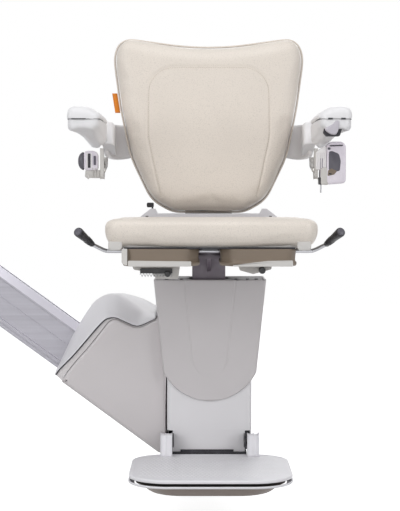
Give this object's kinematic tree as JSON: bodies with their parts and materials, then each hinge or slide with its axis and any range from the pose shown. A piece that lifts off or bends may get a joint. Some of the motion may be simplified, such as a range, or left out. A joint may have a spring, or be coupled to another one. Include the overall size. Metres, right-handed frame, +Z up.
{
  "type": "stairlift chair",
  "caption": "Seat with folding arms, seat and footrest on a swivel column, carried by a toothed-wheel carriage that climbs an inclined rail.",
  "frame": {"origin": "centre of the lower rail foot's bolt pattern, on the floor", "axes": "+Z up; the rider faces -Y; the rail climbs towards -X"},
  "size_m": [1.2638, 0.5806, 1.0568],
  "materials": {
    "rail_aluminium": "satin anodised extrusion",
    "rail_cap_plastic": "fine texture",
    "rack_steel": "milled",
    "foot_steel": "powder coat",
    "bolt_steel": "zinc plated",
    "frame_steel": "black powder coat",
    "gear_steel": "machined",
    "roller_nylon": "turned",
    "motor_black": "cast and painted",
    "battery_case": "moulded",
    "board_green": "board with parts",
    "cover_grey": "fine moulded texture",
    "cover_light": "fine moulded texture",
    "column_grey": "fine moulded texture",
    "seal_dark": "soft strip",
    "post_grey": "satin powder coat",
    "footrest_white": "moulded",
    "footrest_dark": "ribbed",
    "pan_grey": "moulded",
    "seat_box": "moulded",
    "pan_plastic": "moulded",
    "cushion_cream": "leatherette",
    "shell_white": "moulded",
    "arm_white": "soft-touch moulding",
    "lever_steel": "plated rod",
    "grip_black": "moulded grip",
    "belt_plastic": "moulded",
    "belt_web": "woven webbing",
    "tag_orange": "woven tag",
    "toggle_grey": "moulded",
    "button_grey": "moulded"
  },
  "bodies": {
    "rail": {"rail_extrusion": "rail_aluminium", "rail_end_caps": "rail_cap_plastic", "rail_rack": "rack_steel", "rail_foot_lower": "foot_steel", "rail_foot_upper": "foot_steel", "rail_clamp_bolts": "bolt_steel"},
    "carriage": {"carriage_chassis": "frame_steel", "gearbox": "motor_black", "drive_motor": "motor_black", "batteries": "battery_case", "control_board": "board_green", "carriage_front_cover": "cover_grey", "carriage_seal_strip": "seal_dark", "carriage_rear_cover": "cover_grey", "column_frame": "frame_steel", "seat_post": "post_grey", "height_lock_bolts": "bolt_steel", "column_lower_cover": "column_grey", "column_front_shield": "column_grey", "column_rim": "seal_dark", "swivel_mount": "post_grey", "footrest_brackets": "frame_steel"},
    "pinion": {"drive_pinion": "gear_steel"},
    "roller_one": {"roller_1": "roller_nylon"},
    "roller_two": {"roller_2": "roller_nylon"},
    "roller_three": {"roller_3": "roller_nylon"},
    "roller_four": {"roller_4": "roller_nylon"},
    "top_cover": {"carriage_top_cover": "cover_light"},
    "footrest": {"footrest_deck": "footrest_white", "footrest_arms": "footrest_white", "footrest_skirt": "footrest_dark"},
    "pan": {"footrest_pan": "pan_grey"},
    "seat": {"swivel_plate": "frame_steel", "seat_frame": "frame_steel", "seat_base_left": "seat_box", "seat_base_right": "seat_box", "under_seat_latches": "bolt_steel", "hinge_pins": "bolt_steel", "back_upright": "frame_steel", "back_shell": "shell_white", "back_cushion": "cushion_cream", "arm_yoke": "shell_white", "seat_rear_cover": "cover_light", "fabric_tag": "tag_orange", "back_latch": "grip_black", "belt_brackets": "frame_steel", "buckle_body": "belt_plastic", "retractor_housing": "belt_plastic", "belt_webbing": "belt_web", "belt_tongue": "belt_plastic"},
    "lever": {"lever_rod": "lever_steel", "lever_grips": "grip_black"},
    "seat_flap": {"seat_pan": "pan_plastic", "seat_cushion": "cushion_cream"},
    "arm_left": {"arm_body_left": "arm_white", "arm_pad_left": "arm_white"},
    "arm_right": {"arm_body_right": "arm_white", "arm_pad_right": "arm_white"},
    "toggle": {"toggle_paddle": "toggle_grey"},
    "button": {"buckle_button": "button_grey"}
  },
  "joints": [
    {"name": "carriage_travel", "type": "slide", "parent": "rail", "child": "carriage", "axis": [-0.809, 0, 0.5878], "range_m": [0, 0.62]},
    {"name": "pinion_spin", "type": "hinge", "parent": "carriage", "child": "pinion", "pos_m": [-0.1641, 0.003, 0.31327], "axis": [0, -1, 0], "range_deg": [0, 1270]},
    {"name": "roller_1_spin", "type": "hinge", "parent": "carriage", "child": "roller_one", "pos_m": [-0.10824, 0.0175, 0.19976], "axis": [0, -1, 0], "range_deg": [0, 2070]},
    {"name": "roller_2_spin", "type": "hinge", "parent": "carriage", "child": "roller_two", "pos_m": [-0.27813, 0.0175, 0.3232], "axis": [0, -1, 0], "range_deg": [0, 2070]},
    {"name": "roller_3_spin", "type": "hinge", "parent": "carriage", "child": "roller_three", "pos_m": [-0.13645, 0.0175, 0.16093], "axis": [0, -1, 0], "range_deg": [0, 2070]},
    {"name": "roller_4_spin", "type": "hinge", "parent": "carriage", "child": "roller_four", "pos_m": [-0.30635, 0.0175, 0.28436], "axis": [0, -1, 0], "range_deg": [0, 2070]},
    {"name": "top_cover_give", "type": "slide", "parent": "carriage", "child": "top_cover", "axis": [0.809, 0, -0.5878], "range_m": [0, 0.003], "stiffness_N_per_m": 4000, "springref_m": -0.003},
    {"name": "footrest_fold", "type": "hinge", "parent": "carriage", "child": "footrest", "pos_m": [0, -0.212, 0.14], "axis": [-1, 0, 0], "range_deg": [0, 88]},
    {"name": "pan_lift", "type": "slide", "parent": "footrest", "child": "pan", "axis": [0, 0, 1], "range_m": [0, 0.0045], "stiffness_N_per_m": 1500, "springref_m": -0.003},
    {"name": "seat_swivel", "type": "hinge", "parent": "carriage", "child": "seat", "pos_m": [0, -0.235, 0.5705], "axis": [0, 0, 1], "range_deg": [-90, 90]},
    {"name": "lever_pull", "type": "hinge", "parent": "seat", "child": "lever", "pos_m": [0, -0.34, 0.575], "axis": [-1, 0, 0], "range_deg": [0, 22], "stiffness_Nm_per_rad": 4, "springref_deg": -14.32},
    {"name": "seat_fold", "type": "hinge", "parent": "seat", "child": "seat_flap", "pos_m": [0, -0.155, 0.64], "axis": [-1, 0, 0], "range_deg": [0, 80]},
    {"name": "arm_left_fold", "type": "hinge", "parent": "seat", "child": "arm_left", "pos_m": [-0.256, -0.112, 0.815], "axis": [-1, 0, 0], "range_deg": [0, 88]},
    {"name": "arm_right_fold", "type": "hinge", "parent": "seat", "child": "arm_right", "pos_m": [0.256, -0.112, 0.815], "axis": [-1, 0, 0], "range_deg": [0, 88]},
    {"name": "toggle_rock", "type": "hinge", "parent": "arm_right", "child": "toggle", "pos_m": [0.257, -0.412, 0.843], "axis": [0, 1, 0], "range_deg": [-10, 10], "stiffness_Nm_per_rad": 0.4},
    {"name": "buckle_press", "type": "slide", "parent": "seat", "child": "button", "axis": [0, 1, 0], "range_m": [0, 0.003], "stiffness_N_per_m": 600, "springref_m": -0.002}
  ],
  "couplings": [
    {"joint": "pinion_spin", "follows": "carriage_travel", "rad_per_m": 35.714},
    {"joint": "roller_1_spin", "follows": "carriage_travel", "rad_per_m": 58.14},
    {"joint": "roller_2_spin", "follows": "carriage_travel", "rad_per_m": 58.14},
    {"joint": "roller_3_spin", "follows": "carriage_travel", "rad_per_m": 58.14},
    {"joint": "roller_4_spin", "follows": "carriage_travel", "rad_per_m": 58.14}
  ]
}
